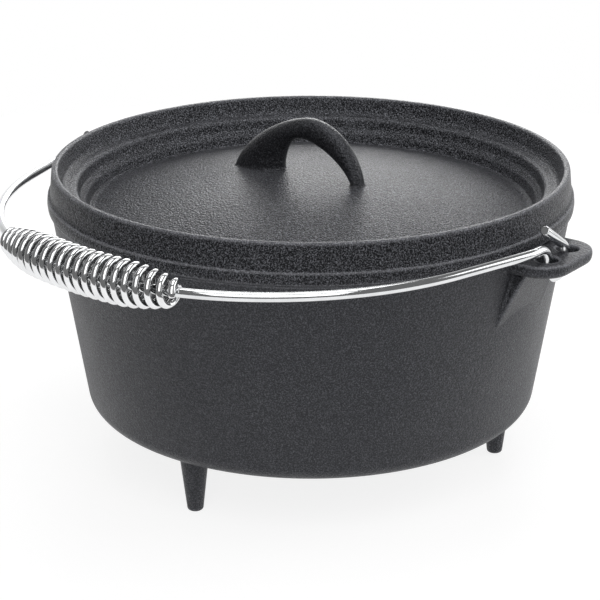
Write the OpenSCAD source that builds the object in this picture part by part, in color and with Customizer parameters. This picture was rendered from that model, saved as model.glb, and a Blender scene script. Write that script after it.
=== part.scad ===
// Camp dutch oven: a cast pot on three legs, a lid with a raised coal rim, a wire bail and a coil grip.
// Millimetres, +Z up. The origin lies on the ground, under the middle of the pot.
// The two ears stand on +X and -X. The bail lies forward, towards -Y, level and a little above the rim.

/* [Pot] */
// Outer radius of the pot at its rim
pot_rim_r = 157; // [145:1:175]
// Outer radius at which the wall would meet the underside of the floor
pot_floor_r = 138; // [125:1:150]
// Height from the underside of the floor to the rim
pot_depth = 126.5; // [95:0.5:160]
// Thickness of the wall
pot_wall = 5.5; // [4:0.5:8]
// Thickness of the floor
pot_floor = 6; // [4:0.5:9]
// Outside radius of the corner between wall and floor
pot_corner_r = 11; // [6:0.5:18]
// Inside radius of the corner between wall and floor
pot_inner_corner_r = 8; // [4:0.5:14]
// Rounding of the rim's two edges
pot_rim_round = 1.2; // [0.5:0.1:1.8]

/* [Legs] */
// Number of legs
leg_count = 3; // [3:1:4]
// Height of the pot's floor above the ground
leg_h = 37; // [25:1:55]
// Radius of the circle that the legs stand on
leg_circle_r = 117; // [95:1:118]
// Radius of a leg at the ground, before its edge is rounded
leg_foot_r = 4.7; // [4:0.1:6]
// Radius of a leg where it meets the pot
leg_root_r = 8.8; // [7:0.1:10]
// Rounding of a leg's foot
leg_foot_round = 1.8; // [0.5:0.1:2.5]
// Radius of the fillet between a leg and the floor
leg_fillet = 5; // [2:0.5:8]

/* [Ears] */
// How far an ear reaches out from the rim
ear_reach = 28.5; // [26:0.5:34]
// Width of an ear
ear_w = 57; // [54:1:80]
// Thickness of an ear
ear_t = 8; // [6:0.5:9]
// How far the top of an ear lies below the rim
ear_drop = 0.7; // [0.5:0.1:4]
// Radius of an ear's outer corners
ear_corner_r = 18; // [10:1:22]
// Rounding of an ear's upper edges
ear_top_round = 1.2; // [0.5:0.1:1.4]
// Rounding of an ear's lower edges
ear_under_round = 4.5; // [1:0.5:4.5]
// Distance of the holes from the outer edge
ear_hole_inset = 14.2; // [11:0.1:15]
// Play of the bail wire in the holes
ear_play = 0.8; // [0.5:0.1:1.5]
// How far the gusset under an ear stands out from the rim
gusset_reach = 8; // [4:0.5:10]
// Height of the gusset
gusset_h = 37; // [20:1:60]
// Width of the gusset under the ear
gusset_top_w = 34; // [20:1:44]
// Width of the gusset at its lower end
gusset_foot_w = 54; // [46:1:70]

/* [Lid] */
// How far the lid's flange reaches past the pot's rim
lid_overhang = 2; // [1:0.5:5]
// Height of the flange above the pot's rim
lid_flange_h = 7.6; // [6.5:0.1:9]
// How far the coal rim is set back from the flange
lid_rim_setback = 1.8; // [1.5:0.1:2.5]
// Height of the coal rim above the pot's rim
lid_rim_h = 23.8; // [20:0.1:34]
// How far the coal rim's outer wall leans in
lid_rim_lean = 1.6; // [0.5:0.1:4]
// Thickness of the coal rim at its top
lid_rim_t = 3.4; // [3:0.1:6]
// How far the coal rim's inner wall spreads towards its foot
lid_rim_spread = 3.7; // [1:0.1:6]
// Width of the upper shelf inside the coal rim
lid_shelf_w = 7.5; // [5:0.1:12]
// Height of the upper shelf above the pot's rim
lid_shelf_h = 13.7; // [11:0.1:16]
// Fall of the upper shelf towards the middle
lid_shelf_fall = 1.3; // [0.3:0.1:2.5]
// Width of the lower step
lid_step_w = 3.5; // [3:0.1:7]
// Height of the lower step above the pot's rim
lid_step_h = 6.5; // [5:0.1:8]
// Fall of the lower step towards the middle
lid_step_fall = 3.5; // [0.5:0.1:4]
// How far each riser between the steps leans
lid_riser_lean = 1.6; // [0.8:0.1:3]
// Width of the groove around the dome
lid_groove_w = 3.3; // [3:0.1:7]
// Depth of the groove below the pot's rim
lid_groove_depth = 2.5; // [0:0.1:4]
// Rise of the dome from the groove to the middle
lid_dome_rise = 17.8; // [8:0.1:24]
// Thickness of the dome
lid_t = 5.5; // [5:0.1:8]
// Depth of the lip that drops into the pot
lid_lip_depth = 5; // [3:0.1:7]
// Width of the lip
lid_lip_w = 6.6; // [5:0.1:8]
// Play between the lip and the pot's wall
lid_play = 1.4; // [0.8:0.1:3]
// How far the lip leans in
lid_lip_lean = 0.6; // [0.3:0.1:1]
// How far the flange's middle stands out past its edges
lid_flange_bulge = 0.4; // [0.2:0.1:0.6]
// Rounding of the lid's edges
lid_edge_round = 1.2; // [0.6:0.1:1.3]

/* [Lid handle] */
// Height of the handle above the middle of the lid
handle_rise = 34.8; // [28:0.1:45]
// Height of the finger gap under the handle
handle_gap_h = 21.2; // [15:0.1:24]
// Reach of the broad foot from the middle of the lid
handle_broad_reach = 57; // [48:1:70]
// Reach of the slender foot from the middle of the lid
handle_slender_reach = 38; // [36:0.5:50]
// Distance of the finger gap's edge from the middle, on the broad side
handle_gap_broad = 20; // [14:0.5:26]
// Distance of the finger gap's edge from the middle, on the slender side
handle_gap_slender = 32.5; // [26:0.5:33.5]
// Width of the broad foot
handle_broad_w = 16; // [12:0.5:28]
// Width of the slender foot
handle_slender_w = 9.5; // [8:0.5:16]
// How far each foot spreads sideways on the lid
handle_spread = 0.5; // [0:0.1:4]

/* [Bail] */
// Diameter of the bail wire
bail_d = 5.5; // [4.5:0.1:6]
// Radius of the eye around the hinge line, to the middle of the wire
bail_eye_r = 9.7; // [9.5:0.1:11]
// Angle around the eye at which the hook's tip leaves it
bail_eye_end = 57; // [50:1:60]
// Length of the hook's straight tip
bail_tip_len = 25; // [15:1:30]
// Radius of the shoulder between eye and side
bail_shoulder_r = 11; // [10:0.5:16]
// Radius of the bend in front of the shoulder
bail_bend_r = 36; // [12:1:40]
// Angle by which each side leans in
bail_lean = 16; // [12:1:20]
// How much less the bow's radius is than the distance of an eye from the middle
bail_draw_in = 9.4; // [8:0.1:20]
// Angle by which the bail stands above level at rest
bail_rest = 0; // [-4:0.5:6]
// Angle above level at which the hook stops the bail
bail_upright = 90; // [80:1:92]

/* [Grip] */
// Length of the coil between the middles of its end turns
grip_len = 132; // [110:1:150]
// Number of turns
grip_turns = 20.5; // [14:0.5:24]
// Diameter of the coil's wire
grip_wire_d = 4; // [2.5:0.1:4.2]
// Outer diameter in the middle of the coil
grip_d = 26; // [24:0.5:30]
// Number of turns over which each end closes on the bail
grip_taper_turns = 5.5; // [2:0.5:6]
// Radial play of the end turns on the bail wire
grip_play = 1.2; // [0.8:0.1:1.6]
// Gap that is left where the end turns hang on the bail wire
grip_seat = 0.4; // [0.35:0.05:0.6]
// Gap between the bail wire and the middle turns, which the bow pushes outward
grip_middle_gap = 0.6; // [0.5:0.1:2]
// Angle around the bow by which the coil has slid towards -X
grip_slid = 5.5; // [-30:0.5:30]

/* [Hidden] */
$fn = 96;
iron = "#37373a";
lid_iron = "#323235";
bright_wire = "#c9cbce";
bright_coil = "#d8dadd";
corner_steps = 4;
dome_steps = 12;
wire_sides = 48;
wire_joint_proud = 0.05;
handle_sides = 20;
handle_rings = 28;
coil_sides = 6;
coil_rings_per_turn = 8;
// A cut runs this far past the face that it opens
through = 1;

rim_z = leg_h + pot_depth;
pot_slope = (pot_rim_r - pot_floor_r) / pot_depth;

bail_wire_r = bail_d / 2;
hinge_x = pot_rim_r + ear_reach - ear_hole_inset;
hinge_z = rim_z - ear_drop - ear_t / 2;
shoulder_y = -bail_eye_r - bail_shoulder_r;
bow_r = hinge_x - bail_draw_in;
// The straight side runs from the end of the bend to the point where it touches the bow's circle
bend_x = hinge_x - bail_bend_r * (1 - cos(bail_lean));
side_len = (bend_x - bow_r * cos(bail_lean)) / sin(bail_lean);
bow_y = shoulder_y + (bow_r - bail_bend_r) * sin(bail_lean) - side_len * cos(bail_lean);

// The bar between an ear's two holes fits inside the eye. The holes reach as far as the tip swings.
ear_bar_half = sqrt(pow(bail_eye_r - bail_wire_r, 2) - pow(ear_t / 2, 2)) - ear_play;
tip_angle = bail_eye_end - bail_upright;
tip_far_y = (bail_eye_r + bail_wire_r - ear_t / 2 * sin(tip_angle)) / cos(tip_angle);
ear_hole_r = (tip_far_y + ear_play - ear_bar_half) / 2;

lid_r = pot_rim_r + lid_overhang;
rim_foot_r = lid_r - lid_rim_setback;
rim_top_r = rim_foot_r - lid_rim_lean;
rim_inner_r = rim_top_r - lid_rim_t;
shelf_outer_r = rim_inner_r - lid_rim_spread;
shelf_inner_r = shelf_outer_r - lid_shelf_w;
step_outer_r = shelf_inner_r - lid_riser_lean;
step_inner_r = step_outer_r - lid_step_w;
groove_outer_r = step_inner_r - lid_riser_lean;
dome_r = groove_outer_r - lid_groove_w;
dome_sphere_r = (dome_r * dome_r + lid_dome_rise * lid_dome_rise) / (2 * lid_dome_rise);
lip_r = pot_rim_r - pot_wall - lid_play;
dome_top = lid_dome_rise - lid_groove_depth;

function unit(v) = v / norm(v);
function flat(p) = [p[0], p[1]];
function power(base, exponent) = base <= 0 ? 0 : pow(base, exponent);

// Corner b of the path a, b, c, rounded to a radius
function corner(a, b, c, radius) =
    radius == 0 ? [b] :
    let (
        u = unit(a - b),
        v = unit(c - b),
        half = acos(u * v) / 2,
        centre = b + unit(u + v) * radius / sin(half),
        start = b + u * radius / tan(half) - centre,
        end = b + v * radius / tan(half) - centre,
        first = atan2(start[1], start[0]),
        turn = atan2(start[0] * end[1] - start[1] * end[0], start * end)
    )
    [for (i = [0:corner_steps])
        let (angle = first + turn * i / corner_steps)
        centre + radius * [cos(angle), sin(angle)]];

// Closed outline through points [x, y, radius], each corner rounded to its own radius
function rounded(points) =
    let (count = len(points))
    [for (i = [0:count - 1])
        each corner(
            flat(points[(i + count - 1) % count]),
            flat(points[i]),
            flat(points[(i + 1) % count]),
            points[i][2]
        )];

// Closed body through a row of rings that all have the same number of points
module loft(rings) {
    sides = len(rings[0]);
    last = (len(rings) - 1) * sides;
    polyhedron(
        points = [for (ring = rings) each ring],
        faces = concat(
            [for (k = [1:sides - 2]) [0, k, k + 1]],
            [for (k = [1:sides - 2]) [last, last + k + 1, last + k]],
            [for (i = [0:len(rings) - 2], k = [0:sides - 1])
                [i * sides + k, (i + 1) * sides + k, i * sides + (k + 1) % sides]],
            [for (i = [0:len(rings) - 2], k = [0:sides - 1])
                [i * sides + (k + 1) % sides, (i + 1) * sides + k, (i + 1) * sides + (k + 1) % sides]]
        )
    );
}

// Outer radius of the pot's wall at a height above the ground
function pot_r(z) = pot_floor_r + pot_slope * (z - leg_h);

function pot_shell() =
    let (floor_top = leg_h + pot_floor)
    rounded([
        [0, leg_h, 0],
        [pot_floor_r, leg_h, pot_corner_r],
        [pot_rim_r, rim_z, pot_rim_round],
        [pot_rim_r - pot_wall, rim_z, pot_rim_round],
        [pot_r(floor_top) - pot_wall, floor_top, pot_inner_corner_r],
        [0, floor_top, 0]
    ]);

// The space inside the middle of the pot's wall: nothing that is cast onto the pot reaches into it
module pot_core() {
    floor_middle = leg_h + pot_floor / 2;
    top = rim_z + through;
    rotate_extrude()
        polygon(rounded([
            [0, floor_middle, 0],
            [pot_r(floor_middle) - pot_wall / 2, floor_middle, (pot_corner_r + pot_inner_corner_r) / 2],
            [pot_r(top) - pot_wall / 2, top, 0],
            [0, top, 0]
        ]));
}

module leg() {
    root_w = leg_root_r + leg_fillet;
    top = leg_h + pot_floor;
    rotate_extrude($fn = 48)
        polygon(rounded([
            [0, 0, 0],
            [leg_foot_r, 0, leg_foot_round],
            [leg_root_r, leg_h - 1, leg_fillet],
            [root_w, leg_h + 1, 0],
            [root_w, top, 0],
            [0, top, 0]
        ]));
}

// Plate of an ear on +X, from inside the wall to its outer edge.
// It is what the plan, the side view and the front view of the ear have in common.
module ear_plate() {
    inner_x = pot_rim_r - 2 * pot_wall;
    outer_x = pot_rim_r + ear_reach;
    bottom = hinge_z - ear_t / 2;
    top = hinge_z + ear_t / 2;
    half_w = ear_w / 2;
    intersection() {
        translate([0, 0, bottom - through])
            linear_extrude(ear_t + 2 * through)
                ear_plan(inner_x, outer_x);
        rotate([90, 0, 0])
            linear_extrude(ear_w + 2 * through, center = true)
                polygon(rounded([
                    [inner_x, bottom, 0],
                    [outer_x, bottom, ear_under_round],
                    [outer_x, top, ear_top_round],
                    [inner_x, top, 0]
                ]));
        translate([inner_x - through, 0, 0])
            rotate([90, 0, 90])
                linear_extrude(outer_x - inner_x + 2 * through)
                    polygon(rounded([
                        [-half_w, bottom, ear_under_round],
                        [half_w, bottom, ear_under_round],
                        [half_w, top, ear_top_round],
                        [-half_w, top, ear_top_round]
                    ]));
    }
}

// Outline of an ear seen from above
module ear_plan(inner_x, outer_x) {
    translate([inner_x, -ear_w / 2])
        square([outer_x - ear_corner_r - inner_x, ear_w]);
    translate([inner_x, -ear_w / 2 + ear_corner_r])
        square([outer_x - inner_x, ear_w - 2 * ear_corner_r]);
    for (side = [-1, 1])
        translate([outer_x - ear_corner_r, side * (ear_w / 2 - ear_corner_r)])
            circle(ear_corner_r);
}

// Wedge under an ear on +X that widens downwards and runs out on the wall
module gusset() {
    top = hinge_z;
    under_ear = hinge_z - ear_t / 2;
    foot = under_ear - gusset_h;
    inner_x = pot_floor_r - 2 * pot_wall;
    outer_x = pot_rim_r + gusset_reach;
    foot_x = sqrt(pow(pot_r(foot), 2) - pow(gusset_foot_w / 2, 2));
    intersection() {
        rotate([90, 0, 0])
            linear_extrude(ear_w, center = true)
                polygon([
                    [inner_x, foot],
                    [foot_x, foot],
                    [outer_x, under_ear],
                    [outer_x, top],
                    [inner_x, top]
                ]);
        translate([inner_x, 0, 0])
            rotate([90, 0, 90])
                linear_extrude(outer_x)
                    polygon([
                        [-gusset_foot_w / 2, foot],
                        [gusset_foot_w / 2, foot],
                        [gusset_top_w / 2, under_ear],
                        [gusset_top_w / 2, top],
                        [-gusset_top_w / 2, top],
                        [-gusset_top_w / 2, under_ear]
                    ]);
    }
}

module ear_holes() {
    for (side = [-1, 1])
        translate([hinge_x, side * (ear_bar_half + ear_hole_r), hinge_z - ear_t / 2 - gusset_h])
            cylinder(h = ear_t + gusset_h + through, r = ear_hole_r);
}

module pot() {
    color(iron)
        union() {
            rotate_extrude($fn = 180)
                polygon(pot_shell());
            difference() {
                union() {
                    for (i = [0:leg_count - 1])
                        rotate(-90 + i * 360 / leg_count)
                            translate([leg_circle_r, 0, 0])
                                leg();
                    for (turn = [0, 180])
                        rotate(turn) {
                            ear_plate();
                            gusset();
                        }
                }
                pot_core();
                for (turn = [0, 180])
                    rotate(turn)
                        ear_holes();
            }
        }
}

// Height of the dome's upper face above the pot's rim
function dome_h(r) = dome_top - dome_sphere_r + sqrt(dome_sphere_r * dome_sphere_r - r * r);

// Half section of the lid, with heights above the pot's rim
function lid_section() =
    rounded(concat(
        [for (i = [0:dome_steps])
            let (r = dome_r * i / dome_steps)
            [r, dome_h(r) - lid_t, 0]],
        [
            [groove_outer_r, -lid_groove_depth - lid_t, 2 * lid_edge_round],
            [lip_r - lid_lip_w, -lid_lip_depth, 2 * lid_edge_round],
            [lip_r - lid_lip_lean, -lid_lip_depth, lid_edge_round],
            [lip_r, 0, 0],
            [lid_r - lid_flange_bulge, 0, lid_edge_round],
            [lid_r, lid_flange_h / 2, 2 * lid_edge_round],
            [lid_r - lid_flange_bulge, lid_flange_h, lid_edge_round / 2],
            [rim_foot_r, lid_flange_h + 0.4 * lid_rim_setback, lid_edge_round / 2],
            [rim_top_r, lid_rim_h, lid_rim_t / 2],
            [rim_inner_r, lid_rim_h, lid_rim_t / 2],
            [shelf_outer_r, lid_shelf_h, 2 * lid_edge_round],
            [shelf_inner_r, lid_shelf_h - lid_shelf_fall, lid_edge_round],
            [step_outer_r, lid_step_h, lid_edge_round],
            [step_inner_r, lid_step_h - lid_step_fall, lid_edge_round],
            [groove_outer_r, -lid_groove_depth, lid_edge_round]
        ],
        [for (i = [dome_steps:-1:0])
            let (r = dome_r * i / dome_steps)
            [r, dome_h(r), i == dome_steps ? lid_edge_round : 0]]
    ));

// A quarter of an arch: t is 0 at its foot and 90 at its top, and a higher bulge makes it squarer
function arch(reach, height, bulge, t) =
    [reach * power(abs(cos(t)), 2 / bulge), height * power(sin(t), 2 / bulge)];

// Ring of the handle at t, from 0 at the slender foot to 180 at the broad foot.
// It spans the outer and the inner arch, which both end inside the dome's thickness.
function handle_ring(t) =
    let (
        sink = 0.9 * lid_t,
        slender = t < 90,
        gap_top = -0.2 * handle_gap_broad,
        outer = slender
            ? arch(handle_slender_reach, handle_rise + sink, 1.98, t)
            : arch(-handle_broad_reach, handle_rise + sink, 1.55, t),
        inner = [gap_top, 0] + (slender
            ? arch(handle_gap_slender - gap_top, handle_gap_h + sink, 1.5, t)
            : arch(-handle_gap_broad - gap_top, handle_gap_h + sink, 2.6, t)),
        share = t / 180,
        spread = handle_spread * power(abs(cos(t)), 8),
        half_w = (handle_slender_w * (1 - share) + handle_broad_w * share) / 2 + spread,
        middle = (outer + inner) / 2,
        reach = (outer - inner) / 2
    )
    [for (k = [0:handle_sides - 1])
        let (
            angle = 360 * k / handle_sides,
            p = middle + reach * cos(angle)
        )
        [p[0], half_w * sin(angle), dome_top - sink + p[1]]];

module lid() {
    color(lid_iron)
        translate([0, 0, rim_z])
            union() {
                rotate_extrude($fn = 180)
                    polygon(lid_section());
                loft([for (i = [0:handle_rings]) handle_ring(180 * i / handle_rings)]);
            }
}

// Bend of the bail wire in the XY plane, around the origin.
// The ball at its end stands a hair proud of the wire, so that the next piece fuses with the bend.
module wire_bend(radius, first, turn) {
    rotate(first)
        rotate_extrude(angle = turn)
            translate([radius, 0])
                circle(bail_wire_r, $fn = wire_sides);
    rotate(first + turn)
        translate([radius, 0, 0])
            sphere(bail_wire_r + wire_joint_proud, $fn = wire_sides);
}

// Straight piece of the bail wire along Z, from the origin
module wire_straight(length) {
    cylinder(h = length, r = bail_wire_r, $fn = wire_sides);
}

// The bail's half on +X, with the hinge line on the X axis and the bail level
module bail_half() {
    // Eye, shoulder and hook, in the plane through the ear's two holes
    translate([hinge_x, 0, 0])
        rotate([90, 0, 90]) {
            wire_bend(bail_eye_r, -180, 180 + bail_eye_end);
            translate([shoulder_y, 0, 0])
                wire_bend(bail_shoulder_r, 0, 90);
            rotate(bail_eye_end)
                translate([bail_eye_r, 0, 0])
                    rotate([-90, 0, 0])
                        wire_straight(bail_tip_len);
        }
    // Bend, straight side and half of the bow, in the level plane above the shoulder
    translate([0, 0, bail_shoulder_r]) {
        translate([hinge_x - bail_bend_r, shoulder_y, 0])
            mirror([0, 1, 0]) {
                wire_bend(bail_bend_r, 0, bail_lean);
                rotate(bail_lean)
                    translate([bail_bend_r, 0, 0])
                        rotate([-90, 0, 0])
                            wire_straight(side_len);
            }
        translate([0, bow_y, 0])
            wire_bend(bow_r, -90, 90 - bail_lean);
    }
}

// Places what is drawn with the bail level and its hinge line on the X axis
module at_hinge() {
    translate([0, 0, hinge_z])
        rotate([-bail_rest, 0, 0])
            children();
}

module bail() {
    color(bright_wire)
        at_hinge()
            union() {
                bail_half();
                mirror([1, 0, 0])
                    bail_half();
            }
}

// The coil is drawn with the bow's middle at the origin and its own middle on +Y.
// Its axis stays as straight as the bow inside the coil lets it.
grip_wire_r = grip_wire_d / 2;
coil_ring_count = ceil(grip_turns * coil_rings_per_turn);
coil_end_r = bail_wire_r + grip_play + grip_wire_r;
coil_hang = grip_play - grip_seat;
coil_swell = grip_d / 2 - grip_wire_r - coil_end_r;
coil_end_y = sqrt(bow_r * bow_r - pow(grip_len / 2, 2));
coil_slack = grip_d / 2 - grip_wire_d - bail_wire_r - grip_middle_gap;
coil_sag = max(1, bow_r - coil_end_y - coil_slack);
coil_axis_r = (pow(grip_len / 2, 2) + coil_sag * coil_sag) / (2 * coil_sag);
coil_axis_y = coil_end_y + coil_sag - coil_axis_r;
coil_half_angle = asin(grip_len / 2 / coil_axis_r);

function coil_r(turn) =
    let (from_end = min(turn, grip_turns - turn))
    coil_end_r + coil_swell * sin(90 * min(1, from_end / grip_taper_turns));

// Angle around the middle of the axis's curve
function coil_angle(turn) = coil_half_angle * (2 * turn / grip_turns - 1);

function coil_outward(turn) =
    let (along = coil_angle(turn), around = 360 * turn)
    [sin(along) * cos(around), cos(along) * cos(around), sin(around)];

function coil_point(turn) =
    let (along = coil_angle(turn))
    [coil_axis_r * sin(along), coil_axis_y + coil_axis_r * cos(along), 0] + coil_r(turn) * coil_outward(turn);

function coil_ring(i) =
    let (
        turn = grip_turns * i / coil_ring_count,
        ahead = min(turn + 0.01, grip_turns),
        behind = max(turn - 0.01, 0),
        along = unit(coil_point(ahead) - coil_point(behind)),
        outward = coil_outward(turn),
        normal = unit(outward - along * (outward * along)),
        sideways = cross(along, normal)
    )
    [for (k = [0:coil_sides - 1])
        let (angle = 360 * k / coil_sides)
        coil_point(turn) + grip_wire_r * (normal * cos(angle) + sideways * sin(angle))];

coil_rings = [for (i = [0:coil_ring_count]) coil_ring(i)];

// Least gap of the coil to itself, between points of its surface that lie more than half a turn apart
coil_self_gap = min([
    for (i = [0:coil_ring_count], j = [i + coil_rings_per_turn / 2 + 1:i + 2 * coil_rings_per_turn])
        if (j <= coil_ring_count)
            for (a = coil_rings[i], b = coil_rings[j])
                norm(a - b)
]);

// Least gap between the coil and the bail wire inside it
coil_bail_gap = min([
    for (ring = coil_rings, p = ring)
        norm([norm(flat(p)) - bow_r, p[2] - coil_hang])
]) - bail_wire_r;

module grip() {
    echo(str("least gap of the coil to itself: ", coil_self_gap, " mm"));
    echo(str("least gap of the coil to the bail: ", coil_bail_gap, " mm"));
    color(bright_coil)
        at_hinge()
            translate([0, bow_y, bail_shoulder_r - coil_hang])
                rotate(180 - grip_slid)
                    loft(coil_rings);
}

pot();
lid();
bail();
grip();
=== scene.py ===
"""Camp dutch oven: the looks of its cast pot, lid, wire bail and coil grip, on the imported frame."""

from math import asin, cos, pi, radians, sin, sqrt, tan, tau

import bmesh
import bpy
from mathutils import Matrix, Vector


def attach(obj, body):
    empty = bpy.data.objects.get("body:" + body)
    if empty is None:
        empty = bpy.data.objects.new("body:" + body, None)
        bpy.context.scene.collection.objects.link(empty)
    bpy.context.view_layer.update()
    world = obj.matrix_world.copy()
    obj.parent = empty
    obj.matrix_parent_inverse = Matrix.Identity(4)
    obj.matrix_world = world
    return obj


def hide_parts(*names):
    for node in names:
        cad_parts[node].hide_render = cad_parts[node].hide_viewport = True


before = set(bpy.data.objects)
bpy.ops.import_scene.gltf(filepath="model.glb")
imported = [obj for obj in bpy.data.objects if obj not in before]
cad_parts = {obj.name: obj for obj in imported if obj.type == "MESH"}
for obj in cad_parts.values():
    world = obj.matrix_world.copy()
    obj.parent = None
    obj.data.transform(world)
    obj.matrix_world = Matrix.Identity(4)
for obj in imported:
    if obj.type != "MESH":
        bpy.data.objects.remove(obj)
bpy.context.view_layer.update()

bl_info = {
    "name": "Camp Dutch Oven",
    "version": (1, 0, 0),
    "blender": (4, 5, 0),
    "location": "View3D > Sidebar > Oven",
    "description": "Builds a cast camp oven with its lid, wire bail and coil grip",
    "category": "Add Mesh",
}

BLACK, WHITE = (0, 0, 0), (1, 1, 1)
# Vertices closer than this become one.
SAME_SPOT = 1e-6
# Steps around the pot and the lid.
ROUND_STEPS = 240
# Voxel sizes with which the ears and the handle are fused.
EAR_VOXEL, HANDLE_VOXEL = 0.0007, 0.0008
# How far a patch that fillets run onto lies under the face in front of it.
PATCH_INSET = 0.00025


def length(name, description, default):
    """A size in metres."""
    return bpy.props.FloatProperty(
        name=name, description=description, default=default, unit='LENGTH', subtype='DISTANCE', precision=4)


def turn(name, description, default):
    """An angle, given in degrees."""
    return bpy.props.FloatProperty(
        name=name, description=description, default=radians(default), unit='ROTATION', subtype='ANGLE')


def share(name, description, default):
    """A value from 0 to 1."""
    return bpy.props.FloatProperty(
        name=name, description=description, default=default, min=0, max=1, subtype='FACTOR')


def number(name, description, default):
    """A plain number."""
    return bpy.props.FloatProperty(name=name, description=description, default=default)


def count(name, description, default):
    """A whole number."""
    return bpy.props.IntProperty(name=name, description=description, default=default, min=1)


def colour(name, description, default):
    """A linear colour."""
    return bpy.props.FloatVectorProperty(
        name=name, description=description, default=default, size=3, min=0, max=1, subtype='COLOR')


class OvenPotSizes(bpy.types.PropertyGroup):
    """Sizes of the pot with its legs and ears."""

    rim_r: length("Rim radius", "Outer radius at the rim", 0.157)
    floor_r: length("Floor radius", "Outer radius at which the wall would meet the floor", 0.138)
    depth: length("Depth", "Height from the underside of the floor to the rim", 0.1265)
    wall: length("Wall", "Thickness of the wall", 0.0055)
    floor_t: length("Floor", "Thickness of the floor", 0.006)
    corner_r: length("Outer corner", "Outside radius between wall and floor", 0.011)
    inner_corner_r: length("Inner corner", "Inside radius between wall and floor", 0.008)
    rim_round: length("Rim rounding", "Rounding of the rim's edges", 0.0012)
    leg_count: count("Legs", "Number of legs", 3)
    leg_h: length("Leg height", "Height of the floor above the ground", 0.037)
    leg_circle_r: length("Leg circle", "Radius of the circle that the legs stand on", 0.117)
    leg_foot_r: length("Foot radius", "Radius of a leg at the ground", 0.0047)
    leg_root_r: length("Root radius", "Radius of a leg at the pot", 0.0088)
    leg_foot_round: length("Foot rounding", "Rounding of a leg's foot", 0.0018)
    leg_fillet: length("Leg fillet", "Fillet between a leg and the floor", 0.005)
    ear_reach: length("Ear reach", "How far an ear reaches out from the rim", 0.0285)
    ear_w: length("Ear width", "Width of an ear", 0.057)
    ear_t: length("Ear thickness", "Thickness of an ear", 0.008)
    ear_corner_r: length("Ear corners", "Radius of an ear's outer corners", 0.018)
    ear_under_round: length("Ear underside", "Rounding of an ear's lower edge", 0.0042)
    ear_top_round: length("Ear top", "Rounding of an ear's upper edge", 0.0009)
    ear_hole_r: length("Hole radius", "Radius of the holes for the bail", 0.00668)
    ear_hole_y: length("Hole spacing", "Distance of each hole's middle from the ear's middle", 0.01156)
    gusset_reach: length("Gusset reach", "How far the gusset stands out from the rim", 0.008)
    gusset_h: length("Gusset height", "Height of the gusset under an ear", 0.037)
    gusset_top_w: length("Gusset top", "Width of the gusset under the ear", 0.034)
    gusset_foot_w: length("Gusset foot", "Width of the gusset at its lower end", 0.054)
    wall_root: length("Root in the wall", "How deep ears and gussets reach into the wall", 0.0046)


class OvenLidSizes(bpy.types.PropertyGroup):
    """Sizes of the lid and its handle, with heights above the pot's rim."""

    radius: length("Radius", "Outer radius of the flange", 0.159)
    flange_h: length("Flange height", "Height of the flange", 0.0076)
    flange_bulge: length("Flange bulge", "How far the flange's middle stands out", 0.0004)
    rim_setback: length("Rim setback", "How far the coal rim is set back from the flange", 0.0018)
    ledge_rise: length("Ledge rise", "Rise of the ledge between flange and coal rim", 0.00072)
    rim_h: length("Rim height", "Height of the coal rim", 0.0238)
    rim_lean: length("Rim lean", "How far the coal rim's outer wall leans in", 0.0016)
    rim_t: length("Rim thickness", "Thickness of the coal rim at its top", 0.0034)
    rim_spread: length("Rim spread", "How far the rim's inner wall spreads to its foot", 0.0037)
    shelf_w: length("Shelf width", "Width of the upper shelf", 0.0075)
    shelf_h: length("Shelf height", "Height of the upper shelf", 0.0137)
    shelf_fall: length("Shelf fall", "Fall of the upper shelf to the middle", 0.0013)
    step_w: length("Step width", "Width of the lower step", 0.0035)
    step_h: length("Step height", "Height of the lower step", 0.0065)
    step_fall: length("Step fall", "Fall of the lower step to the middle", 0.0035)
    riser_lean: length("Riser lean", "How far each riser leans", 0.0016)
    groove_w: length("Groove width", "Width of the groove around the dome", 0.0033)
    groove_depth: length("Groove depth", "Depth of the groove below the pot's rim", 0.0025)
    dome_rise: length("Dome rise", "Rise of the dome from the groove", 0.0178)
    thickness: length("Thickness", "Thickness of the dome", 0.0055)
    lip_r: length("Lip radius", "Outer radius of the lip inside the pot", 0.1501)
    lip_w: length("Lip width", "Width of the lip", 0.0066)
    lip_depth: length("Lip depth", "Depth of the lip", 0.005)
    lip_draft: length("Lip draft", "How much the lip's outer face leans in", 0.0006)
    edge_round: length("Edge rounding", "Rounding of the lid's edges", 0.0012)
    shelf_round: length("Shelf rounding", "Rounding between the coal rim and the shelf", 0.00408)
    step_round: length("Step rounding", "Rounding of the edges of shelf and step", 0.00276)
    handle_rise: length("Handle rise", "Height of the handle above the dome", 0.0348)
    gap_h: length("Gap height", "Height of the finger gap", 0.0212)
    broad_reach: length("Broad reach", "Reach of the broad foot from the middle", 0.057)
    slender_reach: length("Slender reach", "Reach of the slender foot from the middle", 0.038)
    gap_broad: length("Gap, broad side", "Distance of the gap's edge on the broad side", 0.020)
    gap_slender: length("Gap, slender side", "Distance of the gap's edge on the slender side", 0.0325)
    broad_w: length("Broad width", "Width of the broad foot", 0.016)
    slender_w: length("Slender width", "Width of the slender foot", 0.0095)
    foot_spread: length("Foot spread", "How far each foot spreads on the lid", 0.0005)


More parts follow.
